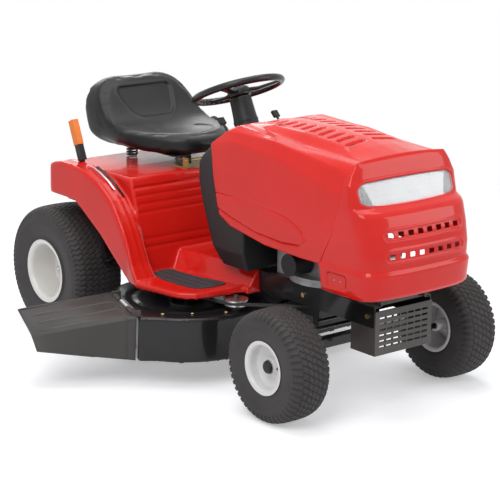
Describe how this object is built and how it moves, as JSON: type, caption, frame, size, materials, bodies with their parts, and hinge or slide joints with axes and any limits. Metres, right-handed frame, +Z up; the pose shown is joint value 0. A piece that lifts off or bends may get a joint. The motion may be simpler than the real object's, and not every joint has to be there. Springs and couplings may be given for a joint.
{
  "type": "riding lawn mower",
  "caption": "Front-engine riding lawn mower with a side-discharge mowing deck, tilting hood, steerable front axle and low-back seat.",
  "frame": {"origin": "centre of the overall bounding box, on the ground under the tyres", "axes": "+Z up, -Y the way the mower drives, -X the discharge chute's side"},
  "size_m": [1.371, 1.7632, 1.0162],
  "materials": {
    "red_paint": "gloss",
    "black_paint": "gloss",
    "black_plastic": "satin",
    "chute_plastic": "matte",
    "tyre_rubber": "matte",
    "rim_paint": "satin",
    "seat_vinyl": "satin",
    "bare_steel": "satin",
    "cast_metal": "matte",
    "clear_lens": "gloss",
    "reflector": "gloss",
    "orange_grip": "satin",
    "mat_rubber": "matte",
    "brass_zinc": "satin",
    "dark_steel": "satin",
    "belt_rubber": "matte"
  },
  "bodies": {
    "chassis": {"frame_rails": "black_paint", "front_plate": "dark_steel", "hood_hinge_bracket": "dark_steel", "frame_crossmembers": "black_paint", "dash_pedestal": "black_plastic", "steering_column": "black_plastic", "fender": "red_paint", "foot_mats": "mat_rubber", "fender_supports": "black_paint", "seat_bracket": "brass_zinc", "engine_block": "cast_metal", "blower_housing": "black_plastic", "oil_filter": "black_plastic", "muffler": "bare_steel", "fuel_tank": "black_plastic", "battery": "black_plastic", "transaxle": "cast_metal", "frame_bolts": "brass_zinc", "wiring": "belt_rubber"},
    "hood": {"hood_shell": "red_paint", "hood_nose": "red_paint", "headlight_lens": "clear_lens", "headlight_reflector": "reflector"},
    "front_axle": {"front_axle": "black_paint"},
    "spindle_left": {"steering_spindle_left": "black_paint"},
    "spindle_right": {"steering_spindle_right": "black_paint"},
    "tie_rod": {"tie_rod": "black_paint"},
    "steering": {"steering_wheel": "black_plastic", "steering_shaft": "bare_steel"},
    "seat": {"seat_cushion": "seat_vinyl", "seat_pan": "black_paint", "seat_springs": "bare_steel"},
    "lift_lever": {"lift_lever": "black_paint", "lift_lever_grip": "orange_grip", "lift_lever_sleeve": "black_plastic"},
    "shift_lever": {"shift_lever": "bare_steel", "shift_knob": "black_plastic"},
    "throttle_lever": {"throttle_lever": "black_plastic"},
    "blade_lever": {"blade_lever": "black_plastic"},
    "ignition_key": {"ignition_key": "bare_steel"},
    "brake_pedal": {"brake_pedal": "black_paint"},
    "deck": {"deck_shell": "black_paint", "deck_fittings": "dark_steel", "deck_hangers": "black_paint", "blade_belt": "belt_rubber"},
    "blade_right": {"blade_and_spindle_right": "bare_steel"},
    "blade_left": {"blade_and_spindle_left": "bare_steel"},
    "engine_pulley": {"engine_pulley": "bare_steel"},
    "idler_pulley": {"idler_pulley": "bare_steel"},
    "chute": {"discharge_chute": "chute_plastic"},
    "front_wheel_right": {"front_tyre_right": "tyre_rubber", "front_rim_right": "rim_paint", "front_cap_right": "black_plastic"},
    "rear_wheel_right": {"rear_tyre_right": "tyre_rubber", "rear_rim_and_axle_right": "rim_paint"},
    "front_wheel_left": {"front_tyre_left": "tyre_rubber", "front_rim_left": "rim_paint", "front_cap_left": "black_plastic"},
    "rear_wheel_left": {"rear_tyre_left": "tyre_rubber", "rear_rim_and_axle_left": "rim_paint"}
  },
  "joints": [
    {"name": "hood_hinge", "type": "hinge", "parent": "chassis", "child": "hood", "pos_m": [0.1405, -0.7626, 0.397], "axis": [1, 0, 0], "range_deg": [0, 75]},
    {"name": "axle_oscillation", "type": "hinge", "parent": "chassis", "child": "front_axle", "pos_m": [0.1405, -0.6006, 0.247], "axis": [0, 1, 0], "range_deg": [-6, 6]},
    {"name": "steer_left", "type": "hinge", "parent": "front_axle", "child": "spindle_left", "pos_m": [0.4085, -0.6006, 0.1854], "axis": [0, 0, 1], "range_deg": [-32, 32]},
    {"name": "steer_right", "type": "hinge", "parent": "front_axle", "child": "spindle_right", "pos_m": [-0.1275, -0.6006, 0.1854], "axis": [0, 0, 1], "range_deg": [-32, 32]},
    {"name": "tie_rod_joint", "type": "hinge", "parent": "spindle_right", "child": "tie_rod", "pos_m": [-0.1275, -0.5256, 0.224], "axis": [0, 0, 1], "range_deg": [-32, 32]},
    {"name": "steering_turn", "type": "hinge", "parent": "chassis", "child": "steering", "pos_m": [0.1405, 0.0834, 0.942], "axis": [0, 0.3955, 0.9184], "range_deg": [-180, 180]},
    {"name": "front_wheel_right_spin", "type": "hinge", "parent": "spindle_right", "child": "front_wheel_right", "pos_m": [-0.234, -0.6006, 0.1854], "axis": [1, 0, 0], "continuous": true},
    {"name": "rear_wheel_right_spin", "type": "hinge", "parent": "chassis", "child": "rear_wheel_right", "pos_m": [-0.225, 0.6424, 0.2392], "axis": [1, 0, 0], "continuous": true},
    {"name": "front_wheel_left_spin", "type": "hinge", "parent": "spindle_left", "child": "front_wheel_left", "pos_m": [0.515, -0.6006, 0.1854], "axis": [1, 0, 0], "continuous": true},
    {"name": "rear_wheel_left_spin", "type": "hinge", "parent": "chassis", "child": "rear_wheel_left", "pos_m": [0.506, 0.6424, 0.2392], "axis": [1, 0, 0], "continuous": true},
    {"name": "seat_hinge", "type": "hinge", "parent": "chassis", "child": "seat", "pos_m": [0.1405, 0.2904, 0.664], "axis": [1, 0, 0], "range_deg": [0, 40]},
    {"name": "deck_lift", "type": "slide", "parent": "chassis", "child": "deck", "axis": [0, 0, 1], "range_m": [-0.065, 0], "deforming": ["blade_belt"]},
    {"name": "lift_lever_pivot", "type": "hinge", "parent": "chassis", "child": "lift_lever", "pos_m": [-0.2195, 0.3894, 0.33], "axis": [1, 0, 0], "range_deg": [0, 45]},
    {"name": "shift_lever_pivot", "type": "hinge", "parent": "chassis", "child": "shift_lever", "pos_m": [0.4405, 0.6104, 0.575], "axis": [1, 0, 0], "range_deg": [-20, 20]},
    {"name": "throttle_lever_pivot", "type": "hinge", "parent": "chassis", "child": "throttle_lever", "pos_m": [0.0205, -0.02779, 0.80404], "axis": [1, 0, 0], "range_deg": [-20, 15]},
    {"name": "blade_lever_pivot", "type": "hinge", "parent": "chassis", "child": "blade_lever", "pos_m": [0.2605, -0.02779, 0.80404], "axis": [1, 0, 0], "range_deg": [-20, 15]},
    {"name": "ignition_key_turn", "type": "hinge", "parent": "chassis", "child": "ignition_key", "pos_m": [0.2005, -0.03637, 0.79565], "axis": [0, 0.7147, 0.6995], "range_deg": [0, 90]},
    {"name": "brake_pedal_pivot", "type": "hinge", "parent": "chassis", "child": "brake_pedal", "pos_m": [0.3625, -0.0776, 0.47], "axis": [1, 0, 0], "range_deg": [0, 20], "stiffness_Nm_per_rad": 4, "springref_deg": -20.05},
    {"name": "blade_right_spin", "type": "hinge", "parent": "deck", "child": "blade_right", "pos_m": [-0.1215, 0.0394, 0.108], "axis": [0, 0, 1], "continuous": true},
    {"name": "blade_left_spin", "type": "hinge", "parent": "deck", "child": "blade_left", "pos_m": [0.4025, 0.0764, 0.108], "axis": [0, 0, 1], "continuous": true},
    {"name": "engine_pulley_spin", "type": "hinge", "parent": "chassis", "child": "engine_pulley", "pos_m": [0.1405, -0.3926, 0.276], "axis": [0, 0, 1], "continuous": true},
    {"name": "idler_pulley_spin", "type": "hinge", "parent": "deck", "child": "idler_pulley", "pos_m": [-0.0855, -0.1956, 0.276], "axis": [0, 0, 1], "continuous": true},
    {"name": "chute_hinge", "type": "hinge", "parent": "deck", "child": "chute", "pos_m": [-0.41693, -0.07426, 0.256], "axis": [0.3337, 0.9427, 0], "range_deg": [0, 70], "stiffness_Nm_per_rad": 1.5, "springref_deg": -11.46}
  ],
  "couplings": [
    {"joint": "steer_right", "follows": "steer_left", "ratio": 1},
    {"joint": "tie_rod_joint", "follows": "steer_left", "ratio": -1},
    {"joint": "steering_turn", "follows": "steer_left", "ratio": 5.5},
    {"joint": "lift_lever_pivot", "follows": "deck_lift", "rad_per_m": -12},
    {"joint": "blade_left_spin", "follows": "blade_right_spin", "ratio": 1},
    {"joint": "engine_pulley_spin", "follows": "blade_right_spin", "ratio": 1.14},
    {"joint": "idler_pulley_spin", "follows": "blade_right_spin", "ratio": 1.3571}
  ]
}
